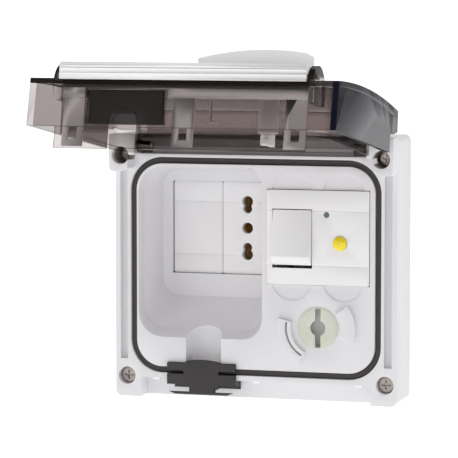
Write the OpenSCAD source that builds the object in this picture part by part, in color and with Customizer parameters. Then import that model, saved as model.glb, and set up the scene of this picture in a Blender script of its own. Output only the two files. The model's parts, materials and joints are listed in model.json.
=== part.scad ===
// Lidded service panel: a weatherproof frame with a residual current device,
// a recessed socket outlet and a hinged smoky lid with a latch and a lock.
// Millimetres. X to the right, Y into the wall, Z up. The origin is the centre of
// the four corner screws, on the plane of the frame's rear rim.

/* [Frame] */
// Width of the frame
frame_w = 139.3; // [130:0.1:170]
// Height of the frame
frame_h = 127.5; // [122:0.1:155]
// Depth of the frame from its front plane to its rear rim
frame_d = 29; // [26:0.5:36]
// Wall of the frame and of its front panel
wall = 2.4; // [1.8:0.1:3]
// Shank diameter of the corner screws
screw_d = 4; // [3.5:0.1:5]
// Distance from the frame's side to a corner screw
screw_side = 5.65; // [5:0.05:7]
// Distance from the frame's top or bottom to a corner screw
screw_end = 10; // [8:0.5:12]

/* [Gasket] */
// Width of the rubber gasket
gasket_w = 3.1; // [2.6:0.1:3.8]
// Outer corner radius of the gasket
gasket_r = 16; // [12:1:19]

/* [Residual current device] */
// Width of the breaker's face
rcbo_w = 49.8; // [41:0.1:51]
// Height of the breaker's face and of the socket modules
module_h = 45; // [38:0.1:54]
// Width of one socket module
module_w = 25; // [21:0.1:30]
// Travel of the breaker's rocker
rocker_swing = 20; // [15:1:20]
// Diameter of the test button
button_d = 6.6; // [5.5:0.1:8]

/* [Lid] */
// Depth of the lid at the crest of its crown
lid_depth = 24.1; // [22:0.1:30]
// Wall of the lid
lid_wall = 2.2; // [1.6:0.1:2.6]
// Angle by which the lid stands open
lid_open = 98.6; // [0:0.1:100]
// Diameter of the hinge pins
hinge_d = 4; // [3:0.1:4.6]
// Width of a latch arm
arm_w = 9.5; // [7.5:0.1:9.7]

/* [Lock and cable outlet] */
// Diameter of the lock bush
bush_d = 20; // [17:0.1:24]
// Width of the cable outlet's rubber block
gland_w = 34.1; // [29:0.1:41]
// Diameter of the cable that the outlet takes
cable_d = 13.3; // [11:0.1:16]

/* [Hidden] */

// Finenesses: round details, the steps of the lid's crown, and the corners of a hull
fine = 48;
crown_steps = 22;
hull_fine = 32;
// Running gap of a pin, loose gap between bodies, and the overlap of a cut past a face
run = 0.05;
gap = 0.3;
cut = 1;

// Colours
white = [0.92, 0.91, 0.92];
smoke = [0.25, 0.23, 0.24, 0.6];
black = [0.2, 0.19, 0.19];
steel = [0.72, 0.72, 0.74];
brass = [0.8, 0.62, 0.3];
copper = [0.76, 0.44, 0.3];
nylon = [0.82, 0.84, 0.76];

// Halves of the frame
hw = frame_w / 2;
hh = frame_h / 2;
frame_r = 3;
screw_x = hw - screw_side;
screw_z = hh - screw_end;
screw_out = 12;
shank_slack = 0.06;
screw_hole_r = screw_d / 2 + 0.1;
head_hole_r = 4.25;
screw_seat = 5.8;
head_r = 0.9 * screw_d;
head_h = 2.6;

// Gasket ring, given by its sides, top and bottom
gasket_x = hw - 7.65;
gasket_top = hh - 11.15;
gasket_low = -hh + 11.95;
gasket_h = gasket_top - gasket_low;
gasket_z = (gasket_top + gasket_low) / 2;
gasket_y = 1.5;
channel_y = 5;
gasket_wall_t = 1.5;
keeper_low = gasket_low - 2.5;

// Front relief of the frame
groove_y = 3.2;
groove_in = gasket_x + gasket_wall_t;
groove_out = hw - wall;
groove_low = -hh + 18.25;
groove_top = hh - 17.75;
floor_y = 10.2;
hollow_y = floor_y + wall;
mid_x = hw - 12.65;
boss_y = 9.87;
boss_low = hh - 17.75;
tooth_y = [0.3, 3.5];
tooth_h = 1.3;
tooth_w = 3.5;

// Socket recess: its mouth, its floor and the modules in it
socket_x = -12;
blank_x = socket_x - module_w;
modules_z = 16.5;
recess_y = 30.5;
mouth_left = -gasket_x + gasket_w + 0.8;
mouth_right = socket_x + module_w / 2 + 3.3;
mouth_top = modules_z + module_h / 2 + 9.9;
mouth_low = modules_z - module_h / 2 - 28.6;
bed_left = blank_x - module_w / 2 - 4.9;
bed_right = socket_x + module_w / 2 + 0.6;
bed_top = modules_z + module_h / 2 + 5.5;
bed_low = modules_z - module_h / 2 - 10.1;
tub_y = 6.6;
tub_wall = 2;
tub_slack = 0.05;
cable_x = -25.4;
channel_r = 8.8;
channel_low = gasket_low + 5.3;

// Breaker
rcbo_x = 31.33;
rcbo_z = 15.6;
rcbo_y = -0.83;
rcbo_face_y = 8;
rcbo_back_y = 52;
rcbo_wall = 1.6;
joint = 0.25;
carrier_z = module_h / 2 + 3.5;
carrier_r = 9;
face_r = 0.8;
rocker_x = 18.75;
rocker_w = 19;
rocker_z = 15.4;
rocker_y = 4.5;
rocker_pin_r = 1.2;
window_low = rocker_z - 14.5;
window_top = rocker_z + 13.7;
button_x = 42.2;
button_z = 13.2;
button_out = 1.9;
button_travel = 1.5;
lens_x = 35.6;
lens_z = 26.6;
lens_r = 1.4;
contact_y = 20;
contact_z = 22;
contact_r = 1;
terminal_x = 11;
terminal_z = 14;

// Socket: offsets and radii of its two pairs of pins, its earth hole and its chambers
pin_wide = 13;
pin_narrow = 9.5;
pin_wide_r = 2.75;
pin_narrow_r = 2.3;
earth_r = 2.75;
chamber_z = (pin_wide + pin_narrow) / 2;
sleeve_end = recess_y + 26;
socket_screw_z = module_h / 2 + 3.6;
wire_r = 1.4;
wire_y = 59;

// Back box
box_y = 64;
box_wall = 2.4;
box_x = hw - 9.9;
box_top = hh - 12.5;
box_low = -hh + 13;
box_flange_y = 26.4;
entry_r = 10.25;
entry_x = -30;
entry_z = -30;
box_screw_x = 40;
box_screw_z = [box_top + 3.4, box_low - 3.4];

// Lock bush
bush_x = 31.3;
bush_z = -27.4;
bush_slot = 2.7;
bush_hole_r = 3.65;
bush_lip = 0.9;
bush_deep = 5.6;
tee_y = 3.5;
tee_len = bush_d - 2.6;
tee_t = bush_slot - 2 * gap;

// Cable outlet
gland_x = -26.2;
gland_y = -1.9;
gland_top = gasket_low + 5.4;
gland_low = -hh + 2.25;
arch_x = -25.9;
arch_y = -2.75;
arch_skin = 0.9;

// Hinge axis, seen from the front plane
hinge_y = -4;
hinge_z = hh - 4.75;
knuckle_r = 4.2;
knuckle_x = [mid_x - 7, mid_x - 0.5];

// Lid, closed: crown, ends, rim, skirt and sealing rib
lid_x = hw + 0.35;
lid_top = hh - 0.65;
lid_low_front = -hh + 6.75;
lid_low_rim = -hh + 3.85;
lid_rim = -0.67;
crown_r = 560;
crown_z = -2;
crown_y = lid_rim - lid_depth;
lid_r = 4;
rib_t = 1.2;
rib_y = 1.2;
skirt_y = 9;
skirt_x = mid_x - gap;
notch_y = -boss_y - 0.33;
notch_z = boss_low - 0.4;
draft = (lid_low_front - lid_low_rim) / (lid_depth - 2);
function skirt_line(y) = lid_low_front - draft * (lid_depth + y);
ear_x = mid_x - 0.8;
block_top = lid_low_rim + 7.6;
ear_t = 2.5;
ear_r = 11.5;
ear_y = crown_y + 6.77;
ear_z = -hh + 16.45;

// Latch, closed: pivot, plate and bar
latch_y = crown_y + 4.77;
latch_z = -hh + 10.65;
latch_pin_r = 0.8;
latch_t = 2;
arm_t = 1.2;
web_end = -16;
latch_tip = 7.7;
latch_half = ear_x - gap;
arm_x = [for (i = [-1:1]) i * (mid_x - 6.6) + 0.6];
bar_y = [crown_y - 4.43, crown_y - 0.05];
lip_y = crown_y + 3.17;
bar_z = -hh + 4.25;
bar_h = 24.5;

// Wire spring behind the sealing rib
spring_x = 12;
spring_r = 0.5;
spring_y = [-13.2, -3.5];
spring_z = gasket_low + 0.35 - spring_r;

// Lock lever
lever_y = [-38, -29];
lever_left = 31.3;
lever_right = 17.8;
lever_w = 15;
lever_r = 122;
lever_steps = 16;
lever_boss_y = lever_y[1] - 1;
stem_r = 4.5;
stem_end = -1.8;
neck_r = stem_r - 1.6;
collar_y = [crown_y + 4, crown_y + 7];
collar_r = 6.4;

// Moves children so that y = 0 is the frame's front plane
module at_front() translate([0, -frame_d, 0]) children();

// Turns the closed lid's pieces to the open pose about the hinge
module lid_pose() at_front() translate([0, hinge_y, hinge_z]) rotate([-lid_open, 0, 0])
  translate([0, -hinge_y, -hinge_z]) children();

// Extrudes an outline in X and Z from depth y0 to depth y1
module slab(y0, y1) translate([0, y1, 0]) rotate([90, 0, 0]) linear_extrude(y1 - y0) children();

// Extrudes an outline in Y and Z from x0 to x1
module run_x(x0, x1) translate([x0, 0, 0]) rotate([90, 0, 90]) linear_extrude(x1 - x0) children();

// A box given by its low and high corners
module span(a, b) translate(a) cube([b[0] - a[0], b[1] - a[1], b[2] - a[2]]);

// A flat rectangle given by its low and high corners
module flat(a, b) translate(a) square([b[0] - a[0], b[1] - a[1]]);

// A round bar along Y
module bar_y(x, z, r, y0, y1, fn = fine) translate([x, y0, z]) rotate([-90, 0, 0])
  cylinder(r = r, h = y1 - y0, $fn = fn);

// A round bar along X
module bar_x(y, z, r, x0, x1, fn = fine) translate([x0, y, z]) rotate([0, 90, 0])
  cylinder(r = r, h = x1 - x0, $fn = fn);

// A rectangle with round corners, centred on x and z
module rounded(w, h, r, x = 0, z = 0) translate([x, z]) {
  square([w - 2 * r, h], center = true);
  square([w, h - 2 * r], center = true);
  for (sx = [-1, 1], sz = [-1, 1])
    translate([sx * (w / 2 - r), sz * (h / 2 - r)]) circle(r, $fn = fine);
}

// The gasket's outline, grown by d
module gasket_outline(d) rounded(2 * (gasket_x + d), gasket_h + 2 * d, gasket_r + d, 0, gasket_z);

// One slice of the recess, lying at depth y, with its corners rounded by r
module recess_slice(y, left, right, low, top, radii, d) {
  corners = [[left, top, 1, -1], [right, top, -1, -1], [right, low, -1, 1], [left, low, 1, 1]];
  for (i = [0:3])
    translate([corners[i][0] + corners[i][2] * radii[i], y, corners[i][1] + corners[i][3] * radii[i]])
      rotate([-90, 0, 0]) cylinder(r = radii[i] + d, h = 0.01, $fn = hull_fine);
}

// The recess as a tapered block, grown by d on its sides
module recess_block(d) hull() {
  recess_slice(-0.5, mouth_left, mouth_right, mouth_low, mouth_top, [13, 10, 10, 12], d);
  recess_slice(recess_y, bed_left, bed_right, bed_low, bed_top, [8, 8, 8, 9], d);
}

// The corner boss at the top right, seen from the front
module boss_outline() {
  difference() {
    flat([mid_x, boss_low], [hw, hh]);
    flat([mid_x - cut, boss_low - cut], [mid_x + 8, boss_low + 8]);
    flat([hw - 2.3, boss_low - cut], [hw + cut, boss_low + 2.3]);
  }
  translate([mid_x + 8, boss_low + 8]) intersection() {
    circle(8, $fn = fine);
    square([2 * (hw - mid_x - 8), 16], center = true);
  }
  translate([hw - 2.3, boss_low + 2.3]) circle(2.3, $fn = fine);
}

// A ring sector seen from the front, used for the guards beside the lock
module sector(r0, r1, a0, a1) intersection() {
  difference() {
    circle(r1, $fn = fine);
    circle(r0, $fn = fine);
  }
  polygon([[0, 0], for (i = [0:4]) 2 * r1 * [cos(a0 + (a1 - a0) * i / 4), sin(a0 + (a1 - a0) * i / 4)]]);
}

// A cross-headed screw along Y, its head's top at y = 0
module cross_screw(r, head, head_t, length) difference() {
  union() {
    bar_y(0, 0, head, 0, head_t, 32);
    bar_y(0, 0, r, head_t, length, 32);
  }
  for (a = [0, 90]) rotate([0, a, 0])
    span([-head * 0.62, -cut, -head * 0.13], [head * 0.62, head_t * 0.6, head * 0.13]);
}

// Teeth under the keeper edge that the latch's windows catch
module keeper_teeth() for (x = arm_x) run_x(x - tooth_w / 2, x + tooth_w / 2)
  polygon([[tooth_y[0], keeper_low + 0.2], [tooth_y[1], keeper_low + 0.2],
    [tooth_y[1] - 0.4, keeper_low - tooth_h], [tooth_y[1] - 1, keeper_low - tooth_h]]);

// Frame with its front panel: skirt, corner bosses, grooves, gasket channel and openings
module front_frame() color(white) at_front() difference() {
  union() {
    difference() {
      union() {
        slab(0, frame_d) rounded(frame_w, frame_h, frame_r);
        for (s = [0, 1]) mirror([s, 0, 0]) slab(-boss_y, cut) boss_outline();
      }
      // Hollow behind the front plate, then behind the thinner panel
      slab(hollow_y, frame_d + cut) rounded(frame_w - 2 * wall, frame_h - 2 * wall, frame_r - 1);
      slab(wall, frame_d)
        rounded(2 * (gasket_x - gasket_w - 2), gasket_h - 2 * gasket_w - 4, 10, 0, gasket_z);
    }
    // Collar round the recess, cup round the lock bush, trough of the cable channel
    intersection() {
      recess_block(1.6);
      span([mouth_left - 4, 0, mouth_low - 4], [mouth_right + 4, tub_y, mouth_top + 4]);
    }
    bar_y(bush_x, bush_z, bush_d / 2 + 2, 0, bush_deep + 2);
    intersection() {
      translate([cable_x, 0, channel_low - 1.5])
        cylinder(r = channel_r + 1.8, h = mouth_low - channel_low + 5, $fn = fine);
      span([-hw, 0, -hh], [hw, 20, hh]);
    }
    for (sx = [-1, 1], sz = [-1, 1]) bar_y(sx * screw_x, sz * screw_z, screw_side - 0.4, wall, frame_d);
    // Posts for the two carriers and the back box
    for (sz = [-1, 1]) bar_y(rcbo_x, rcbo_z + sz * carrier_z, 3, wall / 2, rcbo_face_y + 3);
    for (sx = [-1, 1], z = box_screw_z) bar_y(sx * box_screw_x, z, 3, floor_y + 1, box_flange_y);
    // Guards either side of the lock
    translate([bush_x, 0, bush_z]) slab(-2.2, wall / 2) {
      sector(12.9, 19.5, 167, 243);
      sector(11.5, 18.5, -20, 37);
    }
    keeper_teeth();
  }
  // Gasket channel, side grooves, top and bottom reliefs
  slab(-cut, channel_y) difference() {
    gasket_outline(0);
    gasket_outline(-gasket_w);
  }
  for (s = [0, 1]) mirror([s, 0, 0])
    slab(-cut, groove_y) flat([groove_in, groove_low], [groove_out, groove_top]);
  difference() {
    slab(-cut, floor_y) flat([-mid_x, -hh - cut], [mid_x, keeper_low]);
    keeper_teeth();
  }
  slab(-cut, 6) flat([-mid_x, gasket_top + gasket_wall_t], [mid_x, hh - wall]);
  slab(-cut, 1.6) flat([-mid_x, hh - wall - 0.1], [mid_x, hh + cut]);
  // Seat of the cable outlet across the gasket
  for (z = [[keeper_low - 0.1, gasket_low], [gasket_low + gasket_w, gland_top + 0.1]])
    slab(-cut, channel_y) flat([gland_x - gland_w / 2 - 0.1, z[0]], [gland_x + gland_w / 2 + 0.1, z[1]]);
  // Openings: recess, breaker, cable channel and lock
  recess_block(0);
  slab(-cut, rcbo_face_y + 4) flat([rcbo_x - rcbo_w / 2 - joint, rcbo_z - module_h / 2 - joint],
    [rcbo_x + rcbo_w / 2 + joint, rcbo_z + module_h / 2 + joint]);
  translate([cable_x, 0, channel_low]) cylinder(r = channel_r, h = mouth_low - channel_low + 8, $fn = fine);
  bar_y(bush_x, bush_z, bush_d / 2, -cut, bush_deep);
  // Shallow round dishes for fingers at the breaker's corners
  for (sx = [-1, 1], z = [rcbo_z + module_h / 2 - 2.4, rcbo_z - module_h / 2 + 2.5])
    bar_y(rcbo_x - 0.2 + sx * 12.6, z, 10.3, -cut, 0.6);
  // Slits in the guards, screw holes and hinge pin holes
  translate([bush_x, 0, bush_z]) slab(-3, 1.8) sector(14.7, 15.7, 170, 240);
  for (sx = [-1, 1], sz = [-1, 1]) {
    bar_y(sx * screw_x, sz * screw_z, head_hole_r, -boss_y - cut, screw_seat);
    bar_y(sx * screw_x, sz * screw_z, screw_hole_r, screw_seat - cut, frame_d + cut);
  }
  for (s = [0, 1]) mirror([s, 0, 0]) bar_x(hinge_y, hinge_z, hinge_d / 2, mid_x - cut, mid_x + 4);
  for (sz = [-1, 1]) bar_y(rcbo_x, rcbo_z + sz * carrier_z, 1.2, 4, rcbo_face_y + 4);
  for (sx = [-1, 1], z = box_screw_z) bar_y(sx * box_screw_x, z, 1.2, floor_y + 4, box_flange_y + cut);
  // Room for the tub behind the collar
  intersection() {
    recess_block(tub_wall + tub_slack);
    span([-hw, tub_y, -hh], [hw, frame_d, hh]);
  }
}

// Rubber ring pressed into the channel
module gasket() color(black) at_front() slab(gasket_y, channel_y) difference() {
  gasket_outline(-0.02);
  gasket_outline(-gasket_w + 0.02);
}

// Tapered tub of the socket recess, behind the collar
module recess_tub() color(white) at_front() difference() {
  intersection() {
    recess_block(tub_wall);
    span([-hw, tub_y, -hh], [hw, recess_y, hh]);
  }
  difference() {
    recess_block(0);
    span([-hw, recess_y - tub_wall, -hh], [hw, recess_y + cut, hh]);
  }
  slab(tub_y, recess_y + cut) flat([blank_x - module_w / 2 - 0.2, modules_z - module_h / 2 - 0.2],
    [socket_x + module_w / 2 + 0.2, modules_z + module_h / 2 + 0.2]);
  translate([cable_x, 0, channel_low]) cylinder(r = channel_r, h = mouth_low - channel_low + 8, $fn = fine);
}

// Box behind the frame that closes in the terminals
module back_box() color(white) at_front() difference() {
  union() {
    slab(box_flange_y, frame_d) rounded(2 * (groove_out - 0.4), frame_h - 2 * wall - 0.8, frame_r);
    slab(frame_d - cut, box_y) rounded(2 * box_x, box_top - box_low, 5, 0, (box_top + box_low) / 2);
  }
  slab(box_flange_y - cut, box_y - box_wall)
    rounded(2 * (box_x - box_wall), box_top - box_low - 2 * box_wall, 4, 0, (box_top + box_low) / 2);
  for (sx = [-1, 1], sz = [-1, 1])
    bar_y(sx * screw_x, sz * screw_z, screw_side + 0.1, box_flange_y - cut, frame_d + cut);
  for (sx = [-1, 1], z = box_screw_z) bar_y(sx * box_screw_x, z, 1.6, box_flange_y - cut, frame_d + cut);
  bar_y(entry_x, entry_z, entry_r, box_y - box_wall - cut, box_y + cut, 96);
}

// Screws that hold the back box to the frame's posts
module back_box_screws() color(steel) at_front()
  for (sx = [-1, 1], z = box_screw_z) translate([sx * box_screw_x, frame_d + 2.05, z]) rotate([180, 0, 0])
    cross_screw(1.18, 2.8, 2, 12);

// Long screws through the four corners
module corner_screws() color(steel) at_front() for (sx = [-1, 1], sz = [-1, 1])
  translate([sx * screw_x, screw_seat - head_h, sz * screw_z]) {
    cross_screw(screw_d / 2 - shank_slack, head_r, head_h, frame_d - screw_seat + head_h);
    bar_y(0, 0, screw_d / 2, frame_d - screw_seat + head_h, frame_d + screw_out - screw_seat + head_h, 32);
  }

// Side view of the slot for the lid's skirt, following its draft
module skirt_slot() polygon([
  for (y = [gland_y - cut, skirt_y + 0.4]) [y, skirt_line(y) - gap],
  for (y = [skirt_y + 0.4, gland_y - cut]) [y, skirt_line(y) + lid_wall + 3 * gap]]);

// Rubber block in the frame that the cable leaves over, slotted for the lid's rib and skirt
module cable_gland_base() color(black) at_front() difference() {
  union() {
    slab(gland_y, gasket_y - 0.05) translate([gland_x, 0]) polygon([
      [-gland_w / 2, gland_top], [-gland_w / 2, gland_low + 1.6], [-gland_w / 2 + 4, gland_low],
      [gland_w / 2 - 4, gland_low], [gland_w / 2, gland_low + 1.6], [gland_w / 2, gland_top]]);
    slab(gasket_y - 0.1, floor_y - 0.1) translate([gland_x, 0])
      flat([-gland_w / 2 + 0.4, gland_low + 1.7], [gland_w / 2 - 0.4, keeper_low - 0.15]);
    slab(gasket_y - 0.1, channel_y - 0.1) translate([gland_x, 0])
      flat([-gland_w / 2 + 0.4, keeper_low - 0.2], [gland_w / 2 - 0.4, gasket_low - 0.1]);
    // Arched lip in front of the cable channel
    slab(gland_y, gasket_y - 0.05) intersection() {
      translate([gland_x, gland_top - 40 + 1.4]) circle(40, $fn = 180);
      flat([cable_x - channel_r + gap, gland_top - 1], [cable_x + channel_r - gap, gland_top + 2]);
    }
  }
  for (s = [-1, 1]) {
    // Slots for the sealing rib and for the skirt
    translate([gland_x, 0, 0]) span([s > 0 ? channel_r : -gland_w, gland_y - cut, gasket_low + 0.1],
      [s > 0 ? gland_w : -channel_r, gasket_y - 0.04, gasket_low + 1.8]);
    translate([arch_x, 0, 0])
      run_x(s > 0 ? cable_d / 2 - 0.45 : -gland_w, s > 0 ? gland_w : -cable_d / 2 + 0.45) skirt_slot();
  }
}

// Slotted bush that the lock's tee passes through
module lock_bush() color(nylon) at_front() difference() {
  bar_y(bush_x, bush_z, bush_d / 2 - 0.01, -0.3, bush_deep);
  bar_y(bush_x, bush_z, bush_d / 2 - 0.9, bush_lip, bush_deep + cut);
  bar_y(bush_x, bush_z, bush_hole_r, -cut, bush_lip + cut);
  translate([bush_x, 0, bush_z])
    span([-bush_slot / 2, -cut, -bush_d / 2 + 0.7], [bush_slot / 2, bush_lip + cut, bush_d / 2 - 0.7]);
}

// Breaker's face with its rocker window, button hole and lamp hole
module rcbo_face() color(white) at_front() difference() {
  slab(rcbo_y, rcbo_face_y) rounded(rcbo_w, module_h, face_r, rcbo_x, rcbo_z);
  difference() {
    slab(rcbo_y + rcbo_wall, rcbo_face_y + cut)
      rounded(rcbo_w - 2 * rcbo_wall, module_h - 2 * rcbo_wall, face_r, rcbo_x, rcbo_z);
    // Cheeks that carry the rocker's pin
    for (s = [-1, 1]) translate([rocker_x + s * (rocker_w / 2 + 1), 0, rocker_z])
      span([-0.7, 0, -6], [0.7, rcbo_face_y, 6]);
    bar_y(button_x, button_z, button_d / 2 + 1.4, 0, rcbo_face_y - 1);
  }
  slab(rcbo_y - cut, rcbo_y + rcbo_wall + 0.1)
    flat([rocker_x - rocker_w / 2 - gap, window_low], [rocker_x + rocker_w / 2 + gap, window_top]);
  bar_x(rocker_y, rocker_z, rocker_pin_r, rocker_x - rocker_w, rocker_x + rocker_w / 2 + 5, 32);
  bar_y(button_x, button_z, button_d / 2 + run * 2, rcbo_y - cut, rcbo_face_y);
  bar_y(lens_x, lens_z, lens_r, rcbo_y - cut, rcbo_y + rcbo_wall + cut);
  // Fine grooves across the face
  for (z = [rcbo_z + 12.7, rcbo_z - 13.4])
    slab(rcbo_y - cut, rcbo_y + 0.3) flat([rcbo_x - rcbo_w, z - 0.2], [rcbo_x + rcbo_w, z + 0.2]);
}

// Breaker's case, open towards its face
module rcbo_body() color(white) at_front() difference() {
  slab(rcbo_face_y, rcbo_back_y) rounded(rcbo_w - 2, module_h - 1, face_r, rcbo_x, rcbo_z);
  slab(rcbo_face_y - cut, rcbo_back_y - rcbo_wall)
    rounded(rcbo_w - 2 - 2 * rcbo_wall, module_h - 1 - 2 * rcbo_wall, face_r, rcbo_x, rcbo_z);
  for (sz = [-1, 1], i = [-1, 1])
    bar_y(rcbo_x + i * terminal_x, rcbo_z + sz * terminal_z, 3, rcbo_back_y - 2 * cut - rcbo_wall,
      rcbo_back_y + cut);
}

// Carrier plate that holds the breaker behind the panel
module rcbo_carrier() color(black) at_front() slab(rcbo_face_y + 3, rcbo_face_y + 5) difference() {
  intersection() {
    rounded(rcbo_w + 0.4, 2 * carrier_z + 7, carrier_r, rcbo_x, rcbo_z);
    flat([mouth_right + 1.6, -hh], [hw, hh]);
  }
  rounded(rcbo_w - 1.9, module_h - 0.9, face_r, rcbo_x, rcbo_z);
  for (sz = [-1, 1]) translate([rcbo_x, rcbo_z + sz * carrier_z]) circle(1.6, $fn = 32);
  translate([bush_x, bush_z]) circle(bush_d / 2 + 2.5, $fn = fine);
}

// Screws of the breaker's carrier
module carrier_screws() color(steel) at_front() for (sz = [-1, 1])
  translate([rcbo_x, rcbo_face_y + 7, rcbo_z + sz * carrier_z]) rotate([180, 0, 0])
    cross_screw(1.18, 2.8, 2, 8.5);

// Steel pin that the rocker turns on
module rocker_pin() color(steel) at_front() translate([rocker_x, 0, 0])
  bar_x(rocker_y, rocker_z, rocker_pin_r - 0.005, -rocker_w / 2 - 1.7, rocker_w / 2 + 1.7, 32);

// Rocker with a folded front, turning about its pin
module rcbo_rocker() color(white) at_front() difference() {
  run_x(rocker_x - rocker_w / 2, rocker_x + rocker_w / 2) union() {
    polygon([[-0.9, rocker_z + 13.3], [-5, rocker_z - 8.7], [-4.2, rocker_z - 10.6], [-1, rocker_z - 13],
      [1.4, rocker_z - 12.2], [rocker_y + 2, rocker_z - 3], [rocker_y + 2, rocker_z + 3],
      [1.6, rocker_z + 12.6]]);
    translate([rocker_y, rocker_z]) circle(3, $fn = 32);
  }
  bar_x(rocker_y, rocker_z, rocker_pin_r + run, rocker_x - rocker_w, rocker_x + rocker_w, 32);
}

// Sprung test button with a domed top
module test_button() color([0.98, 0.85, 0.1]) at_front() {
  intersection() {
    bar_y(button_x, button_z, button_d / 2, rcbo_y - button_out, 4);
    translate([button_x, rcbo_y - button_out + button_d * 0.8, button_z]) sphere(button_d * 0.8, $fn = fine);
  }
  bar_y(button_x, button_z, button_d / 2, 2.8, 5, fine);
  bar_y(button_x, button_z, 1.4, 4.9, rcbo_face_y + 2, 32);
}

// Leaf contact that the test button presses
module test_blade() color(brass) at_front() {
  span([button_x - 2, rcbo_face_y + 4, button_z - 16], [button_x + 2, rcbo_face_y + 4.4, button_z + 4]);
  span([button_x - 2, rcbo_face_y + 4, button_z - 16.6], [button_x + 2, rcbo_face_y + 12, button_z - 16]);
}

// Grey lens of the indicator
module indicator_lens() color([0.45, 0.48, 0.46]) at_front() {
  bar_y(lens_x, lens_z, lens_r - 0.02, rcbo_y - 0.1, rcbo_y + rcbo_wall + 1.2, 32);
}

// Moving contact arm, geared to the rocker
module moving_contact() color(copper) at_front() difference() {
  run_x(rocker_x - 2, rocker_x + 2) {
    translate([contact_y, contact_z]) circle(2.6, $fn = 32);
    flat([contact_y - 1, contact_z - 13], [contact_y + 1, contact_z]);
    flat([contact_y, contact_z - 13], [contact_y + 3, contact_z - 10.6]);
  }
  bar_x(contact_y, contact_z, contact_r + run, rocker_x - 5, rocker_x + 5, 32);
}

// Fixed contacts, and the pin that the moving arm turns on
module fixed_contacts() color(copper) at_front() {
  bar_x(contact_y, contact_z, contact_r, rocker_x - 6, rocker_x + 6, 32);
  for (s = [-1, 1]) translate([rocker_x + s * 5, contact_y, contact_z]) span([-1, -1.5, -1.5], [1, 22, 1.5]);
  span([rocker_x - 2.5, contact_y + 3.2, contact_z - 13.5], [rocker_x + 2.5, contact_y + 5, contact_z - 10]);
  span([rocker_x - 1.5, contact_y + 4.9, contact_z - 13], [rocker_x + 1.5, contact_y + 20, contact_z - 11.5]);
}

// Stack of arc-quenching plates below the contacts
module arc_chute() color(steel) at_front() for (i = [0:5])
  span([rocker_x - 4, contact_y - 2 + 3 * i, -1.5], [rocker_x + 4, contact_y - 1 + 3 * i, 4.5]);

// Trip solenoid
module trip_coil() color(copper) at_front() {
  bar_y(rcbo_x + 2, 26, 4.5, 24, 38);
  bar_y(rcbo_x + 2, 26, 1.5, 17, 41);
}

// Current-sensing ring with its windings
module sensing_toroid() color([0.35, 0.3, 0.26]) at_front() translate([button_x + 2, 32, 12])
  rotate([90, 0, 0]) rotate_extrude($fn = 64) translate([6.5, 0]) circle(2.8, $fn = 32);

// Screw terminals at the rear of the breaker
module rcbo_terminals() color(brass) at_front() for (i = [-1, 1], sz = [-1, 1]) difference() {
  translate([rcbo_x + i * terminal_x, 0, rcbo_z + sz * terminal_z])
    span([-4, 44, -3.5], [4, rcbo_back_y - rcbo_wall, 3.5]);
  bar_y(rcbo_x + i * terminal_x, rcbo_z + sz * terminal_z, 1.5, 45, rcbo_back_y, 32);
}

// Terminal screws
module terminal_screws() color(steel) at_front() for (i = [-1, 1], sz = [-1, 1])
  translate([rcbo_x + i * terminal_x, rcbo_back_y - 0.6, rcbo_z + sz * terminal_z]) rotate([180, 0, 0])
    cross_screw(1.48, 2.6, 1, 5.4);

// Plain filler beside the socket
module blank_module() color(white) at_front() difference() {
  slab(recess_y, recess_y + 12) rounded(module_w - 0.3, module_h, face_r, blank_x, modules_z);
  slab(recess_y + 1.8, recess_y + 13) rounded(module_w - 3.6, module_h - 3, face_r, blank_x, modules_z);
  for (z = [modules_z + 12.6, modules_z - 13.3])
    slab(recess_y - cut, recess_y + 0.3) flat([blank_x - module_w, z - 0.2], [blank_x + module_w, z + 0.2]);
}

// Socket face with two pin spacings and an earth hole
module socket_face() color(white) at_front() difference() {
  slab(recess_y, recess_y + 6) rounded(module_w - 0.3, module_h, face_r, socket_x, modules_z);
  slab(recess_y + 4, recess_y + 7) rounded(module_w - 3.6, module_h - 3, face_r, socket_x, modules_z);
  for (s = [-1, 1]) {
    bar_y(socket_x, modules_z + s * pin_wide, pin_wide_r, recess_y - cut, recess_y + 7);
    bar_y(socket_x, modules_z + s * pin_narrow, pin_narrow_r, recess_y - cut, recess_y + 7);
    translate([socket_x, 0, modules_z]) span([-1.2, recess_y - cut, min(s * pin_wide, s * pin_narrow)],
      [1.2, recess_y + 7, max(s * pin_wide, s * pin_narrow)]);
  }
  bar_y(socket_x, modules_z, earth_r, recess_y - cut, recess_y + 7);
  for (z = [12.6, -13.3]) slab(recess_y - cut, recess_y + 0.3) difference() {
    flat([socket_x - module_w, modules_z + z - 0.2], [socket_x + module_w, modules_z + z + 0.2]);
    translate([socket_x, modules_z + sign(z) * pin_wide]) circle(5.5, $fn = fine);
  }
}

// Socket's case with its three contact chambers
module socket_body() color(white) at_front() difference() {
  slab(recess_y + 6, recess_y + 28) rounded(module_w - 1.2, module_h - 1, face_r, socket_x, modules_z);
  for (s = [-1, 1]) slab(recess_y + 5, sleeve_end)
    translate([socket_x, modules_z + s * chamber_z]) square([8.4, 10.8], center = true);
  bar_y(socket_x, modules_z, 4, recess_y + 5, sleeve_end);
}

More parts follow.
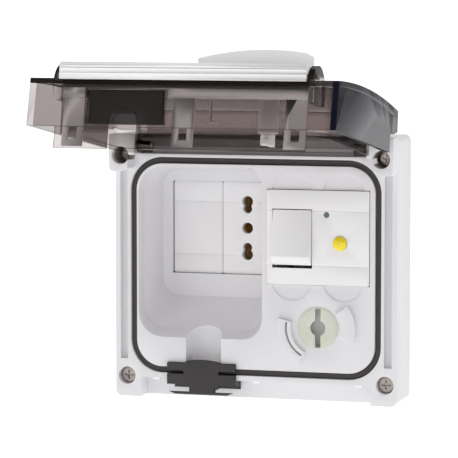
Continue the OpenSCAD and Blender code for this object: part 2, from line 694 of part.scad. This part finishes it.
// Sprung sleeves that grip the plug's pins
module socket_contacts() color(brass) at_front() {
  difference() {
    union() {
      bar_y(socket_x, modules_z, 3.6, recess_y + 4.6, sleeve_end);
      for (s = [-1, 1]) slab(recess_y + 11, sleeve_end)
        translate([socket_x, modules_z + s * chamber_z]) square([7.6, 10], center = true);
    }
    bar_y(socket_x, modules_z, 2.5, recess_y, recess_y + 22);
    for (s = [-1, 1]) {
      bar_y(socket_x, modules_z + s * pin_wide, 2.6, recess_y, recess_y + 22);
      bar_y(socket_x, modules_z + s * pin_narrow, 2.3, recess_y, recess_y + 22);
      translate([socket_x, 0, modules_z]) span([-1.2, recess_y, min(s * pin_wide, s * pin_narrow)],
        [1.2, recess_y + 22, max(s * pin_wide, s * pin_narrow)]);
    }
  }
}

// Carrier ring that holds the two socket modules behind the recess
module socket_carrier() color(black) at_front() slab(recess_y, recess_y + 2.4) difference() {
  rounded(2 * module_w + 6, module_h + 14, 3, (blank_x + socket_x) / 2, modules_z);
  flat([blank_x - module_w / 2 + 0.1, modules_z - module_h / 2 - 0.1],
    [socket_x + module_w / 2 + 0.1, modules_z + module_h / 2 + 0.1]);
  for (sz = [-1, 1]) translate([(blank_x + socket_x) / 2, modules_z + sz * socket_screw_z])
    circle(1.6, $fn = 32);
}

// Screws of the socket carrier
module socket_carrier_screws() color(steel) at_front() for (sz = [-1, 1])
  translate([(blank_x + socket_x) / 2, recess_y + 4.4, modules_z + sz * socket_screw_z]) rotate([180, 0, 0])
    cross_screw(1.2, 2.6, 2, 4.3);

// A wire along a list of points, with round elbows
module wire(points, r) for (i = [0:len(points) - 2]) {
  d = points[i + 1] - points[i];
  translate(points[i]) rotate([0, acos(d[2] / norm(d)), atan2(d[1], d[0])])
    cylinder(r = r, h = norm(d), $fn = 24);
  if (i > 0) translate(points[i]) sphere(1.1 * r, $fn = 24);
}

// Insulated wires from the breaker's outgoing terminals to the socket
module link_wires() color([0.2, 0.3, 0.7]) at_front() for (s = [-1, 1])
  wire([[rcbo_x - terminal_x, rcbo_back_y + 0.1, rcbo_z + s * terminal_z],
    [rcbo_x - terminal_x, wire_y, rcbo_z + s * terminal_z],
    [socket_x + 4, wire_y, modules_z + s * pin_wide],
    [socket_x + 4, recess_y + 28.1, modules_z + s * pin_wide]], wire_r);

// Hinge pins pressed into the top bosses
module hinge_pins() color(steel) at_front() for (s = [0, 1]) mirror([s, 0, 0])
  bar_x(hinge_y, hinge_z, hinge_d / 2 - 0.005, knuckle_x[0] - 0.6, mid_x + 3.8);

// Lid's side profile, shrunk by d: crowned front and drafted free end
module lid_profile(d) {
  low = lid_low_front + d;
  high = lid_top - d;
  polygon([[skirt_y + 20, high],
    for (i = [0:crown_steps])
      let (z = high + (low - high) * i / crown_steps)
        [crown_y + d + crown_r - sqrt(crown_r * crown_r - (z - crown_z) * (z - crown_z)), z],
    [skirt_y + 20, low - draft * (lid_depth + skirt_y + 20)]]);
}

// Lid's outer or inner block, shrunk by d
module lid_block(d) intersection() {
  run_x(-lid_x + d, lid_x - d) lid_profile(d);
  slab(crown_y - 2, skirt_y + 3) rounded(2 * (lid_x - d), lid_top - lid_low_rim + 4 - 2 * d,
    max(lid_r - d, 1), 0, (lid_top + lid_low_rim - 4) / 2);
}

// Smoky lid, drawn closed and turned open
module lid_shell() color(smoke) lid_pose() difference() {
  union() {
    difference() {
      lid_block(0);
      lid_block(lid_wall);
      // The rim, and the skirt between the bottom bosses that reaches lower
      span([-hw - 5, lid_rim, -hh + 14], [hw + 5, 40, hh + 5]);
      for (s = [0, 1]) mirror([s, 0, 0]) span([skirt_x, lid_rim, -hh - 10], [hw + 5, 40, -hh + 15]);
      span([-hw - 5, skirt_y, -hh - 10], [hw + 5, 40, hh]);
      // Only the end wall goes down as a skirt
      span([-skirt_x - 1, lid_rim, lid_low_rim + lid_wall + 0.3], [skirt_x + 1, 40, -hh + 15]);
      // Notches round the top bosses and their sweep
      for (s = [0, 1]) mirror([s, 0, 0]) {
        span([mid_x - 0.4, notch_y, notch_z], [hw + 5, 10, hh + 5]);
        bar_x(hinge_y, hinge_z, 7.9, mid_x - 0.4, hw + 5);
        intersection() {
          bar_x(hinge_y, hinge_z, 14.6, mid_x - 0.4, hw + 5);
          span([mid_x - 0.4, notch_y, 0], [hw + 5, 20, hh + 5]);
        }
      }
      // Hinge side of the end wall stops short of the frame
      span([-mid_x, -3.4, hinge_z - 6], [mid_x, 20, hh + 5]);
    }
    // Sealing rib
    intersection() {
      slab(crown_y, rib_y) difference() {
        gasket_outline(-0.35);
        gasket_outline(-0.35 - rib_t);
        flat([gland_x - channel_r - 0.6, gasket_low - 3], [gland_x + channel_r + 0.6, gasket_low + 6]);
      }
      run_x(-lid_x, lid_x) lid_profile(lid_wall / 2);
    }
    // Hinge knuckles
    for (s = [0, 1]) mirror([s, 0, 0]) intersection() {
      run_x(knuckle_x[0], knuckle_x[1]) union() {
        translate([hinge_y, hinge_z]) circle(knuckle_r, $fn = fine);
        flat([crown_y, hinge_z - knuckle_r + 1], [hinge_y, lid_top]);
      }
      run_x(0, lid_x) lid_profile(0.1);
    }
    // Seat of the lock's collar
    bar_y(bush_x, bush_z, collar_r, crown_y + 1.5, collar_y[0]);
    // Round ears either side of the latch
    for (s = [0, 1]) mirror([s, 0, 0]) intersection() {
      bar_x(ear_y, ear_z, ear_r, ear_x, ear_x + ear_t);
      span([0, -50, -hh], [hw, -12.7, 0]);
    }
    // Ribs that hold the cable outlet's upper block
    for (x = [gland_x - gland_w / 2 - 1.4, gland_x + gland_w / 2 + 0.1])
      intersection() {
        span([x, -17.6, lid_low_rim], [x + 1.3, -2.3, gland_top - 4]);
        run_x(-lid_x, lid_x) lid_profile(lid_wall / 2);
      }
  }
  // Slot in the front for the latch, its pin holes, the lock's hole
  span([-ear_x, crown_y - 5, lid_low_front + lid_wall - 0.4], [ear_x, -lid_depth + 5, latch_z + 3.2]);
  for (s = [0, 1]) mirror([s, 0, 0])
    bar_x(latch_y, latch_z, latch_pin_r, ear_x - cut, ear_x + ear_t + cut, 32);
  bar_y(bush_x, bush_z, neck_r + 0.6, crown_y - 3, crown_y + 8);
  for (s = [0, 1]) mirror([s, 0, 0]) bar_x(hinge_y, hinge_z, hinge_d / 2 + run, knuckle_x[0] - cut, mid_x);
  // Arch for the cable in the skirt
  slab_z_arch(lid_low_rim - 8, lid_low_rim + lid_wall + 1);
}

// Arch-shaped cutter for the cable, from z0 to z1
module slab_z_arch(z0, z1) {
  translate([arch_x, arch_y, z0]) cylinder(r = cable_d / 2, h = z1 - z0, $fn = fine);
  span([arch_x - cable_d / 2, arch_y, z0], [arch_x + cable_d / 2, skirt_y + 5, z1]);
}

// Rubber block in the lid above the cable
module cable_gland_lid() color(black) lid_pose() difference() {
  span([gland_x - gland_w / 2 + 0.1, -17.4, lid_low_front + lid_wall + 0.1],
    [gland_x + gland_w / 2, -2.3, block_top]);
  slab_z_arch(lid_low_rim, block_top - arch_skin);
}

// Latch plate of thickness t in Y and Z, from depth y0 to y1, along the lid's draft
module latch_plate(y0, y1, t) {
  top = [for (y = [y0, y1]) latch_z + latch_t / 2 - draft * (y - latch_y)];
  polygon([[y0, top[0]], [y1, top[1]], [y1, top[1] - t], [y0, top[0] - t]]);
}

// White latch across the free end of the lid, with three windowed arms
module latch_bar() color(white) lid_pose() difference() {
  union() {
    run_x(-latch_half, latch_half) {
      polygon([[lip_y, bar_z], [bar_y[0] + 1.2, bar_z + 0.2], [bar_y[0], bar_z + 1.6],
        [bar_y[1] - 0.8, bar_z + bar_h], [bar_y[1], bar_z + bar_h - 1],
        [bar_y[1], lid_low_front - gap - 0.2], [lip_y, lid_low_front - gap - 0.2]]);
      latch_plate(bar_y[1] - 0.5, -18.2, latch_t);
    }
    difference() {
      run_x(-latch_half, latch_half) latch_plate(-18.3, -14, latch_t);
      span([gland_x - gland_w / 2 - 2, -18, -hh], [gland_x + gland_w / 2 + 2, -10, 0]);
    }
    for (x = arm_x) run_x(x - arm_w / 2, x + arm_w / 2) {
      latch_plate(-18.3, web_end, latch_t);
      latch_plate(web_end - 0.1, latch_tip, arm_t);
    }
  }
  for (x = arm_x) span([x - 2.05, -1.1, -hh - 5], [x + 2.05, 4.5, -hh + 20]);
  for (s = [0, 1]) mirror([s, 0, 0])
    bar_x(latch_y, latch_z, latch_pin_r + run, latch_half - 5, latch_half + cut, 32);
  // Two fine grooves along the bar
  for (y = [bar_y[0] + 2.6, bar_y[0] + 4.8])
    run_x(-latch_half - cut, latch_half + cut) flat([y - 0.15, bar_z - cut], [y + 0.15, bar_z + 0.35]);
}

// Pins that the latch turns on, pressed into the ears
module latch_pins() color(steel) lid_pose() for (s = [0, 1]) mirror([s, 0, 0])
  bar_x(latch_y, latch_z, latch_pin_r - 0.005, latch_half - 4.5, ear_x + ear_t, 32);

// Wire spring that returns the latch
module latch_spring() color(steel) lid_pose() {
  bar_y(spring_x, spring_z, spring_r, spring_y[0], spring_y[1], 32);
  bar_x(spring_y[1] - spring_r, spring_z, 0.9 * spring_r, spring_x, spring_x + 3.5, 32);
}

// Collar under the lid round the lock's stem
module lock_collar() color(nylon) lid_pose() difference() {
  bar_y(bush_x, bush_z, collar_r, collar_y[0], collar_y[1]);
  bar_y(bush_x, bush_z, stem_r + run, collar_y[0] - cut, collar_y[1] + cut);
}

// Lever on the lid that turns the lock
module lock_lever() color(white) lid_pose() difference() {
  union() {
    translate([bush_x, 0, bush_z - lever_w / 2]) linear_extrude(lever_w) polygon([
      [-lever_left, lever_y[1]],
      for (i = [0:lever_steps])
        let (x = -lever_left + (lever_left + lever_right) * i / lever_steps)
          [x, lever_y[0] + lever_r - sqrt(lever_r * lever_r - x * x)],
      [lever_right, lever_y[1]]]);
    bar_y(bush_x, bush_z, 7, lever_boss_y, crown_y - 0.6);
  }
  bar_y(bush_x, bush_z, neck_r, lever_boss_y, crown_y);
}

// Stem with its tee, which turns with the lever
module lock_stem() color(white) lid_pose() {
  bar_y(bush_x, bush_z, neck_r - 0.02, lever_boss_y + 0.05, collar_y[0] + 2 * gap);
  bar_y(bush_x, bush_z, stem_r, collar_y[0] + gap, stem_end);
  bar_y(bush_x, bush_z, 3.2, stem_end - 0.1, tee_y);
  translate([bush_x, 0, bush_z])
    span([-tee_t / 2, bush_lip + gap, -tee_len / 2], [tee_t / 2, tee_y, tee_len / 2]);
}

// Sealing ring of the stem
module stem_ring() color(black) lid_pose() translate([bush_x, crown_y - 0.35, bush_z])
  rotate([90, 0, 0]) difference() {
  cylinder(r = 5, h = 0.2, center = true, $fn = fine);
  cylinder(r = neck_r, h = 2, center = true, $fn = fine);
}

front_frame();
gasket();
recess_tub();
back_box();
back_box_screws();
corner_screws();
cable_gland_base();
lock_bush();
rcbo_face();
rcbo_body();
rcbo_carrier();
carrier_screws();
rocker_pin();
fixed_contacts();
arc_chute();
trip_coil();
sensing_toroid();
test_blade();
rcbo_terminals();
terminal_screws();
indicator_lens();
blank_module();
socket_face();
socket_body();
socket_contacts();
socket_carrier();
socket_carrier_screws();
link_wires();
hinge_pins();
lid_shell();
cable_gland_lid();
latch_pins();
latch_spring();
lock_collar();
latch_bar();
lock_lever();
lock_stem();
stem_ring();
rcbo_rocker();
test_button();
moving_contact();
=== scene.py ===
import json
from math import pi, radians

import bpy
import numpy as np
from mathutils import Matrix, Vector


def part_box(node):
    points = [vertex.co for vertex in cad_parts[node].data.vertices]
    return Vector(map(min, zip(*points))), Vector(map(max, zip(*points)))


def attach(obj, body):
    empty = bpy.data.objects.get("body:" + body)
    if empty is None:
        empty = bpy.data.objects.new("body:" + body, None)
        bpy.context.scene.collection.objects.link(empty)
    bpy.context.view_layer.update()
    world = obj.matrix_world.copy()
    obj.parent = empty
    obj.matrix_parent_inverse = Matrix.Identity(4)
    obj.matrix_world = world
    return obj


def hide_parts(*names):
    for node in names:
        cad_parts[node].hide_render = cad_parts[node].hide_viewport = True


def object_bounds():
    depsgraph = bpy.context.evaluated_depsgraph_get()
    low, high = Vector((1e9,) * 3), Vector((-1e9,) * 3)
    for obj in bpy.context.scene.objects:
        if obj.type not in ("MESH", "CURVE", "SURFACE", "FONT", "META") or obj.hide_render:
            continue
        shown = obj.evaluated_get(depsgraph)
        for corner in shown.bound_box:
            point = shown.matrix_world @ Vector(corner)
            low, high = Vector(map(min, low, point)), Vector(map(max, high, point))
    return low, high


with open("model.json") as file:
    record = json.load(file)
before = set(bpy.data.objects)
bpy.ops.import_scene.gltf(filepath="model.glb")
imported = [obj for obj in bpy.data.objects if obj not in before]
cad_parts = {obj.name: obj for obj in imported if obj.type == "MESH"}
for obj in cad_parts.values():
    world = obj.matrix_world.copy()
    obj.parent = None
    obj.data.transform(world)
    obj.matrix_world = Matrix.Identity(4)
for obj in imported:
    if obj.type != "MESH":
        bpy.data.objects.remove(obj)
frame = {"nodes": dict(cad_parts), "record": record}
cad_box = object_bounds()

NODES = frame["nodes"]
MM = 0.001

# ---------------------------------------------------------------- places, in metres
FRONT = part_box("rcbo_face")[0].y + 0.83 * MM          # the frame's front plane
HALF_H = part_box("front_frame")[1].z                   # half the frame's height
HINGE_DROP = 4.75                                      # mm from the frame's top to the hinge line
HINGE_FORWARD = 4.0                                    # mm from the front plane to the hinge line
HINGE_Y = FRONT - HINGE_FORWARD * MM
HINGE_Z = HALF_H - HINGE_DROP * MM
LID_OPEN = radians(98.6)
TOP_SCREW_X = 64.0 * MM
TOP_SCREW_Z = 53.75 * MM
WELL_R = 4.4 * MM
WELL_FACE = FRONT - 8.4 * MM                           # the face of the two top bosses


def from_front(x, y, z):
    """A point given in mm from the middle of the front plane, in metres in the row frame."""
    return np.stack(np.broadcast_arrays(np.asarray(x) * MM, FRONT + np.asarray(y) * MM,
                                        np.asarray(z) * MM), -1)


# ---------------------------------------------------------------- meshes
def piece(name, points, faces, body, replaces=()):
    """A mesh object from arrays of points and faces that rides on a body."""
    mesh = bpy.data.meshes.new(name)
    mesh.from_pydata(np.asarray(points).reshape(-1, 3).tolist(), [], [list(f) for f in faces])
    mesh.validate()
    mesh.update()
    mesh.shade_smooth()
    made = bpy.data.objects.new(name, mesh)
    bpy.context.scene.collection.objects.link(made)
    if replaces:
        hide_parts(*replaces)
    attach(made, body)
    return made


def grid_faces(rows, columns, wrap_rows=False, wrap_columns=False):
    """Quads between neighbouring points of a grid, whose rows or columns may close on themselves."""
    r, c = np.meshgrid(np.arange(rows - (not wrap_rows)), np.arange(columns - (not wrap_columns)),
                       indexing="ij")
    r, c = r.ravel(), c.ravel()
    r1, c1 = (r + 1) % rows, (c + 1) % columns
    return np.stack([r * columns + c, r * columns + c1, r1 * columns + c1, r1 * columns + c], -1)


def rounded_path(half_w, low, top, radius, corner_steps=16):
    """A closed rounded rectangle: four quarter circles joined by straights.

    Returns its points (x, z) and the outward normals there."""
    turn = np.linspace(0, pi / 2, corner_steps)
    points, normals = [], []
    corners = [(half_w - radius, top - radius, 0), (radius - half_w, top - radius, pi / 2),
               (radius - half_w, low + radius, pi), (half_w - radius, low + radius, 3 * pi / 2)]
    for x, z, start in corners:
        a = start + turn
        n = np.stack([np.cos(a), np.sin(a)], -1)
        normals.append(n)
        points.append(np.array([x, z]) + radius * n)
    return np.concatenate(points), np.concatenate(normals)


def ring_sweep(name, path, profile, body, replaces=()):
    """Carries a closed profile (outward offset, depth) round a closed path in X and Z.

    Point = path + normal * offset, at the profile's depth."""
    points, normals = path
    off, depth = profile[:, 0], profile[:, 1]
    xz = points[:, None, :] + normals[:, None, :] * off[None, :, None]
    grid = from_front(xz[..., 0], depth[None, :] + 0 * xz[..., 0], xz[..., 1])
    return piece(name, grid, grid_faces(len(points), len(off), True, True), body, replaces)


def ease_edges(node, width, segments=3, angle=28):
    """Rounds a moulded piece's sharp edges by a fixed width in mm."""
    obj = NODES[node]
    weld = obj.modifiers.new("weld", "WELD")
    weld.merge_threshold = 0.002 * MM
    bevel = obj.modifiers.new("edge", "BEVEL")
    bevel.width = width * MM
    bevel.segments = segments
    bevel.limit_method = "ANGLE"
    bevel.angle_limit = radians(angle)
    bevel.harden_normals = True
    bevel.use_clamp_overlap = True
    obj.data.shade_smooth()


# ---------------------------------------------------------------- materials
class Value:
    """A shader socket that adds Math nodes when it is used in an expression."""

    def __init__(self, material, socket):
        self.material = material
        self.socket = socket

    def _math(self, operation, first, second=None):
        inputs = {0: first} if second is None else {0: first, 1: second}
        return self.material.node("ShaderNodeMath", {"operation": operation}, inputs).out()

    def __add__(self, other):
        return self._math("ADD", self, other)

    def __sub__(self, other):
        return self._math("SUBTRACT", self, other)

    def __rsub__(self, other):
        return self._math("SUBTRACT", other, self)

    def __mul__(self, other):
        return self._math("MULTIPLY", self, other)

    def above(self, limit):
        return self._math("GREATER_THAN", self, limit)

    def clipped(self):
        return self._math("MINIMUM", self._math("MAXIMUM", self, 0.0), 1.0)

    def size(self):
        return self._math("ABSOLUTE", self)

    __radd__ = __add__
    __rmul__ = __mul__


class Made:
    """A node that was just added, with its outputs as values."""

    def __init__(self, material, node):
        self.material = material
        self.node = node

    def out(self, name=0):
        return Value(self.material, self.node.outputs[name])


class Finish:
    """A material with one Principled shader, built node by node."""

    def __init__(self, name, colour, roughness, **constants):
        self.made = bpy.data.materials.new(name)
        self.made.use_nodes = True
        self.tree = self.made.node_tree
        self.shader = next(n for n in self.tree.nodes if n.type == "BSDF_PRINCIPLED")
        self.output = next(n for n in self.tree.nodes if n.type == "OUTPUT_MATERIAL")
        self.shader.inputs["Base Color"].default_value = (*colour, 1)
        self.shader.inputs["Roughness"].default_value = roughness
        for key, value in constants.items():
            self.shader.inputs[key.replace("_", " ")].default_value = value
        self.place = self.node("ShaderNodeTexCoord").out("Object")

    def node(self, kind, settings=None, inputs=None):
        new = self.tree.nodes.new(kind)
        for key, value in (settings or {}).items():
            setattr(new, key, value)
        for key, value in (inputs or {}).items():
            self.feed(new.inputs[key], value)
        return Made(self, new)

    def feed(self, socket, value):
        if isinstance(value, Value):
            self.tree.links.new(value.socket, socket)
        else:
            socket.default_value = value

    def noise(self, scale, detail=4.0, roughness=0.55, stretch=None):
        place = self.place
        if stretch:
            place = self.node("ShaderNodeMapping", None, {"Vector": place, "Scale": stretch}).out()
        settings = {"Vector": place, "Scale": scale, "Detail": detail, "Roughness": roughness}
        return self.node("ShaderNodeTexNoise", None, settings).out()

    def mix(self, factor, first, second):
        new = self.node("ShaderNodeMix", {"data_type": "RGBA"})
        self.feed(new.node.inputs["Factor"], factor)
        self.feed(new.node.inputs[6], first if isinstance(first, Value) else (*first, 1))
        self.feed(new.node.inputs[7], second if isinstance(second, Value) else (*second, 1))
        return new.out(2)

    def axis(self, name):
        return self.node("ShaderNodeSeparateXYZ", None, {0: self.place}).out(name)

    def bump(self, height, strength, distance):
        normal = self.node("ShaderNodeBump", None,
                           {"Strength": strength, "Distance": distance, "Height": height}).out()
        self.feed(self.shader.inputs["Normal"], normal)

    def set(self, **inputs):
        for key, value in inputs.items():
            self.feed(self.shader.inputs[key.replace("_", " ")], value)


def moulded_white(name, colour, roughness, grain=0.04, painted_well_shade=False):
    """White thermoplastic: faint clouding in its colour, satin gloss that varies, fine moulding grain.

    The two top screw holes get painted shade, a dark brown mixed into the colour: inside the well's
    radius round a screw's line, growing over the first 5 mm behind the boss's face."""
    f = Finish(name, colour, roughness, IOR=1.5)
    cloud = f.noise(38.0, 3.0)
    shade = tuple(0.965 * c for c in colour)
    base = f.mix(cloud, shade, colour)
    if painted_well_shade:
        # painted shade: the top screw holes are darkened towards brown, standing in for the shadow
        # inside them
        across = f.axis("X").size() - TOP_SCREW_X
        along = f.axis("Z") - TOP_SCREW_Z
        near = (WELL_R ** 2 - (across * across + along * along)).above(0.0)
        deep = ((f.axis("Y") - WELL_FACE) * (1 / (5.0 * MM))).clipped()
        base = f.mix(near * deep * 0.9, base, (0.16, 0.11, 0.09))
    f.set(Base_Color=base, Roughness=cloud * 0.1 + (roughness - 0.05))
    f.bump(f.noise(2600.0, 2.0), grain, 0.00005)
    return f.made


def black_rubber(name, colour, roughness):
    """Black rubber: dusty lighter patches and a soft open grain."""
    f = Finish(name, colour, roughness, IOR=1.45)
    dust = f.noise(170.0, 6.0, 0.65)
    pale = tuple(min(1, 1.7 * c + 0.01) for c in colour)
    f.set(Base_Color=f.mix(dust, colour, pale), Roughness=dust * 0.25 + (roughness - 0.12))
    f.bump(f.noise(1500.0, 3.0), 0.25, 0.00008)
    return f.made


# The closed lid, in mm from the middle of the front plane
LID_RIM = -0.67                                        # depth of the rim
SKIRT_END = 9.0                                        # depth where the skirt ends
END_WALL = {"depth": -24.1, "height": -54.6, "draft": -0.1312}
SIDE_WALL = 67.1                                       # half the width, inside the side walls
CROWN = {"middle": -2.0, "twice_radius": 1120.0, "edge": -22.5}
EAR_DEPTH = -25.2                                      # only the ears stand this far forward


def smoky_clear(name):
    """Smoke-tinted clear plastic: tinted walls that darken as they are seen more edge on.

    Each surface passes about four fifths of the light, less towards the edge view as facing^5.
    Cut rims, corners, ears, the crown's ends and the right wall are darker, because light runs
    along the wall there. The masks read depth and height on the closed lid, found by turning the
    open lid's coordinates back about the hinge line."""
    f = Finish(name, (0.012, 0.010, 0.011), 0.1, IOR=1.07)
    clear = f.node("ShaderNodeBsdfTransparent", None, {"Color": (0.80, 0.775, 0.772, 1)})
    facing = f.node("ShaderNodeLayerWeight", None, {"Blend": 0.5}).out("Facing")
    c, s = np.cos(LID_OPEN), np.sin(LID_OPEN)
    x = f.axis("X") * (1 / MM)
    y, z = (f.axis("Y") - HINGE_Y) * (1 / MM), (f.axis("Z") - HINGE_Z) * (1 / MM)
    depth = y * c - z * s - HINGE_FORWARD
    height = y * s + z * c + HINGE_Z / MM
    cut_edge = 0.0
    for edge in (LID_RIM, SKIRT_END):
        cut_edge = (0.12 - (depth - edge).size()).above(0.0) + cut_edge
    wall_line = (depth - END_WALL["depth"]) * END_WALL["draft"] + END_WALL["height"]
    end_wall = (wall_line - height).above(0.0)
    side_wall = (x.size() - SIDE_WALL).above(0.0)
    from_middle = height - CROWN["middle"]
    in_crown = from_middle * from_middle * (1 / CROWN["twice_radius"]) + CROWN["edge"] - depth
    crown_edge = in_crown.above(0.0) * (end_wall + side_wall).clipped()
    corner = (x - (SIDE_WALL + 0.5)).above(0.0) * end_wall
    ear = (EAR_DEPTH - depth).above(0.0)
    right = (x - (SIDE_WALL + 0.1)).above(0.0)
    grazing = facing * facing * facing * facing * facing
    body = (grazing * 0.9 + cut_edge * 0.5 + crown_edge * 0.9 + corner * 0.95 + ear * 0.55
            + right * 0.5 + 0.01).clipped()
    f.set(Base_Color=f.mix(right, (0.016, 0.012, 0.010), (0.008, 0.008, 0.018)))
    plastic = Value(f, f.shader.outputs[0])
    blend = f.node("ShaderNodeMixShader", None, {0: body, 1: clear.out(), 2: plastic})
    f.tree.links.new(blend.node.outputs[0], f.output.inputs["Surface"])
    return f.made


def clear_nylon(name):
    """Milky nylon: greenish cream with light passing a little way in."""
    f = Finish(name, (0.70, 0.72, 0.60), 0.34, IOR=1.53, Subsurface_Weight=0.35)
    f.shader.inputs["Subsurface Radius"].default_value = (0.004, 0.004, 0.003)
    f.shader.inputs["Subsurface Scale"].default_value = 1.0
    cloud = f.noise(220.0, 3.0)
    f.set(Base_Color=f.mix(cloud, (0.62, 0.65, 0.52), (0.76, 0.77, 0.67)))
    f.bump(f.noise(900.0, 2.0), 0.08, 0.00005)
    return f.made


def worked_metal(name, colour, roughness, stretch):
    """Metal with fine drawn or turned lines and slight tarnish."""
    f = Finish(name, colour, roughness, Metallic=1.0)
    lines = f.noise(900.0, 3.0, 0.5, stretch)
    tarnish = f.noise(240.0, 5.0, 0.6)
    dark = tuple(0.6 * c for c in colour)
    f.set(Base_Color=f.mix(tarnish, dark, colour), Roughness=lines * 0.25 + (roughness - 0.1))
    f.bump(lines, 0.12, 0.00004)
    return f.made


def glossy_colour(name, colour, roughness):
    """Coloured moulded plastic with a polished skin."""
    f = Finish(name, colour, roughness, Coat_Weight=0.4)
    cloud = f.noise(420.0, 3.0)
    f.set(Base_Color=f.mix(cloud, tuple(0.86 * c for c in colour), colour))
    f.bump(f.noise(1800.0, 2.0), 0.05, 0.00004)
    return f.made


FINISHES = {
    "frame_plastic": moulded_white("frame_white", (0.80, 0.79, 0.81), 0.42, painted_well_shade=True),
    "module_plastic": moulded_white("module_white", (0.90, 0.89, 0.90), 0.34, 0.02),
    "lock_plastic": moulded_white("latch_white", (0.95, 0.95, 0.95), 0.45, 0.02),
    "gasket_rubber": black_rubber("gasket_rubber", (0.040, 0.036, 0.035), 0.72),
    "outlet_rubber": black_rubber("outlet_rubber", (0.026, 0.023, 0.024), 0.6),
    "smoky_clear": smoky_clear("smoky_lid"),
    "nylon": clear_nylon("bush_nylon"),
    "test_yellow": glossy_colour("test_yellow", (1.0, 0.80, 0.01), 0.18),
    "lens_grey": glossy_colour("lens_grey", (0.10, 0.15, 0.12), 0.18),
    "screw_steel": worked_metal("screw_steel", (0.46, 0.41, 0.38), 0.30, (1, 1, 1)),
    "pin_steel": worked_metal("pin_steel", (0.62, 0.61, 0.60), 0.24, (0.05, 1, 1)),
    "contact_brass": worked_metal("contact_brass", (0.70, 0.46, 0.18), 0.32, (1, 0.08, 1)),
    "copper_metal": worked_metal("contact_copper", (0.72, 0.36, 0.22), 0.34, (1, 1, 0.1)),
    "carrier_black": black_rubber("carrier_black", (0.05, 0.05, 0.055), 0.5),
    "core_brown": black_rubber("core_brown", (0.16, 0.11, 0.08), 0.55),
    "wire_cover": glossy_colour("wire_cover", (0.05, 0.09, 0.34), 0.35),
}


def dress(obj, slot):
    """Gives a piece the finish of its slot."""
    obj.data.materials.clear()
    obj.data.materials.append(FINISHES[slot])


for part in frame["record"]["subparts"]:
    dress(NODES[part["node"]], part["material_slot"])

# ---------------------------------------------------------------- edges of the moulded pieces
for node, width in {
    "front_frame": 0.35, "recess_tub": 0.2, "lid_shell": 0.35, "latch_bar": 0.1, "lock_lever": 0.8,
    "rcbo_face": 0.2, "rcbo_rocker": 0.35, "blank_module": 0.2, "socket_face": 0.18, "lock_bush": 0.2,
    "cable_gland_base": 0.35, "cable_gland_lid": 0.3, "corner_screws": 0.2, "back_box": 0.5,
    "lock_stem": 0.2, "hinge_pins": 0.2, "rcbo_body": 0.3, "socket_body": 0.3,
}.items():
    ease_edges(node, width)

# ---------------------------------------------------------------- gasket
GASKET = {"half": 62.0, "low": -51.8, "top": 52.6, "radius": 16.0, "width": 3.1}


def gasket_profile():
    """The bead's section: flat bottom and a top whose depth, over t from 0 to 1 across the width, is
    1.5 + 0.9 (2 |t - 0.5|)^6 + 0.16 exp(-((t - 0.5) / 0.16)^2): round shoulders and a shallow valley
    where the lid's rib lands."""
    w = GASKET["width"] - 0.1
    t = np.linspace(0, 1, 15)
    crown = 1.5 + 0.9 * (2 * np.abs(t - 0.5)) ** 6 + 0.16 * np.exp(-((t - 0.5) / 0.16) ** 2)
    top = np.stack([-0.05 - w * t, crown], -1)
    return np.vstack([top, [[-0.05 - w, 4.9], [-0.05, 4.9]]])


bead = ring_sweep("gasket_bead",
                  rounded_path(GASKET["half"], GASKET["low"], GASKET["top"], GASKET["radius"]),
                  gasket_profile(), "panel", ["gasket"])
dress(bead, "gasket_rubber")

# ---------------------------------------------------------------- stage
def floor_sheet():
    """A pale floor a little below the panel, swept up behind it into a backdrop.

    The section is a straight, a quarter circle of radius 1.5 m and a vertical straight."""
    drop, radius, wide = cad_box[0][2] - 0.03, 1.5, 8.0
    turn = np.linspace(0, pi / 2, 25)
    y = np.concatenate([[-6.0], 2.0 + radius * np.sin(turn), [2.0 + radius]])
    z = drop + np.concatenate([[0], radius * (1 - np.cos(turn)), [6.0]])
    points = np.stack(np.broadcast_arrays(np.array([-wide, wide])[None, :], y[:, None], z[:, None]), -1)
    mesh = bpy.data.meshes.new("floor")
    mesh.from_pydata(points.reshape(-1, 3).tolist(), [],
                     grid_faces(len(y), 2)[:, ::-1].tolist())
    mesh.shade_smooth()
    floor = bpy.data.objects.new("floor", mesh)
    bpy.context.scene.collection.objects.link(floor)
    f = Finish("floor_pale", (0.5, 0.5, 0.5), 0.95, Emission_Strength=0.86)
    f.shader.inputs["Emission Color"].default_value = (1, 1, 1, 1)
    mesh.materials.append(f.made)


def soft_light(name, place, aim, size, power, colour=(1, 1, 1)):
    """A square area light that looks at a point."""
    lamp = bpy.data.lights.new(name, "AREA")
    lamp.size = size
    lamp.energy = power
    lamp.color = colour
    holder = bpy.data.objects.new(name, lamp)
    holder.location = place
    holder.rotation_euler = (Vector(aim) - Vector(place)).to_track_quat("-Z", "Y").to_euler()
    bpy.context.scene.collection.objects.link(holder)


floor_sheet()
soft_light("key_left", (-0.9, -1.1, 0.5), (0, 0, 0), 0.7, 2.6, (1.0, 0.985, 0.96))
soft_light("fill_right", (1.3, -0.7, 0.3), (0, 0, 0), 0.8, 0.3, (0.80, 0.86, 1.0))
soft_light("top", (0.1, -0.9, 1.1), (0, 0, 0), 0.8, 2.4)
soft_light("front_low", (0.25, -1.5, -0.15), (0, 0, 0), 0.8, 2.6)

world = bpy.data.worlds.new("studio")
bpy.context.scene.world = world
world.use_nodes = True
world.node_tree.nodes["Background"].inputs["Color"].default_value = (1, 1, 1, 1)
world.node_tree.nodes["Background"].inputs["Strength"].default_value = 0.38
bpy.context.scene.view_settings.view_transform = "Standard"

camera = bpy.data.objects.new("camera", bpy.data.cameras.new("camera"))
bpy.context.scene.collection.objects.link(camera)
camera.location = (0.35055, -1.28183, 0.13550)
camera.rotation_euler = (radians(84.884), 0, radians(16.165))
camera.data.lens = 215.47
camera.data.sensor_width = 36
camera.data.clip_start = 0.05
bpy.context.scene.camera = camera
